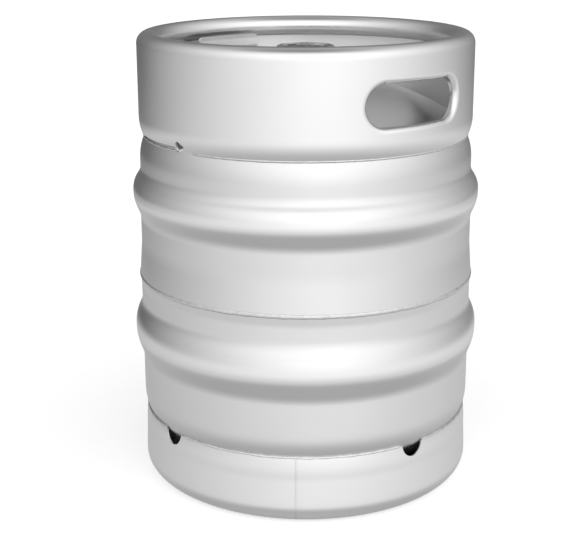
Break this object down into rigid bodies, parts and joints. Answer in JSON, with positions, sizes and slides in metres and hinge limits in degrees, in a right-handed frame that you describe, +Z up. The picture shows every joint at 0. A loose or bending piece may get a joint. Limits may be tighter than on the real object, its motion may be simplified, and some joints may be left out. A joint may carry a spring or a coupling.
{
  "type": "beer keg",
  "caption": "Stainless steel beer keg with rolled hoops, a rolled top collar with hand slots, a foot ring and a spring valve spear in its neck.",
  "frame": {"origin": "middle of the foot ring, on the surface that the keg stands on", "axes": "+Z runs up the keg's axis from the foot ring to the rim; the two hand slots face +X and -X"},
  "size_m": [0.4132, 0.4132, 0.532],
  "materials": {
    "shell_steel": "satin, pickled",
    "chime_steel": "satin, pickled",
    "weld_steel": "rippled weld bead, pickled",
    "machined_steel": "turned",
    "polished_steel": "polished",
    "spring_steel": "drawn wire",
    "black_rubber": "smooth"
  },
  "bodies": {
    "root": {"upper_shell": "shell_steel", "lower_shell": "shell_steel", "girth_weld": "weld_steel", "upper_chime": "chime_steel", "lower_chime": "chime_steel", "upper_chime_weld": "weld_steel", "lower_chime_weld": "weld_steel", "upper_chime_seam": "weld_steel", "lower_chime_seam": "weld_steel", "neck": "machined_steel", "neck_weld": "weld_steel", "body_gasket": "black_rubber", "spear_body": "machined_steel", "spring_retainer": "machined_steel", "retainer_ring": "spring_steel", "gas_valve_spring": "spring_steel"},
    "gas_valve": {"gas_valve_cup": "machined_steel", "gas_valve_seal": "black_rubber", "down_tube": "machined_steel", "beer_valve_spring": "spring_steel"},
    "beer_valve": {"beer_valve": "polished_steel"}
  },
  "joints": [
    {"name": "gas_valve_slide", "type": "slide", "parent": "root", "child": "gas_valve", "axis": [0, 0, -1], "range_m": [0, 0.006], "stiffness_N_per_m": 6000, "springref_m": -0.012, "deforming": ["gas_valve_spring"]},
    {"name": "beer_valve_slide", "type": "slide", "parent": "gas_valve", "child": "beer_valve", "axis": [0, 0, -1], "range_m": [0, 0.005], "stiffness_N_per_m": 1500, "springref_m": -0.005, "deforming": ["beer_valve_spring"]}
  ]
}
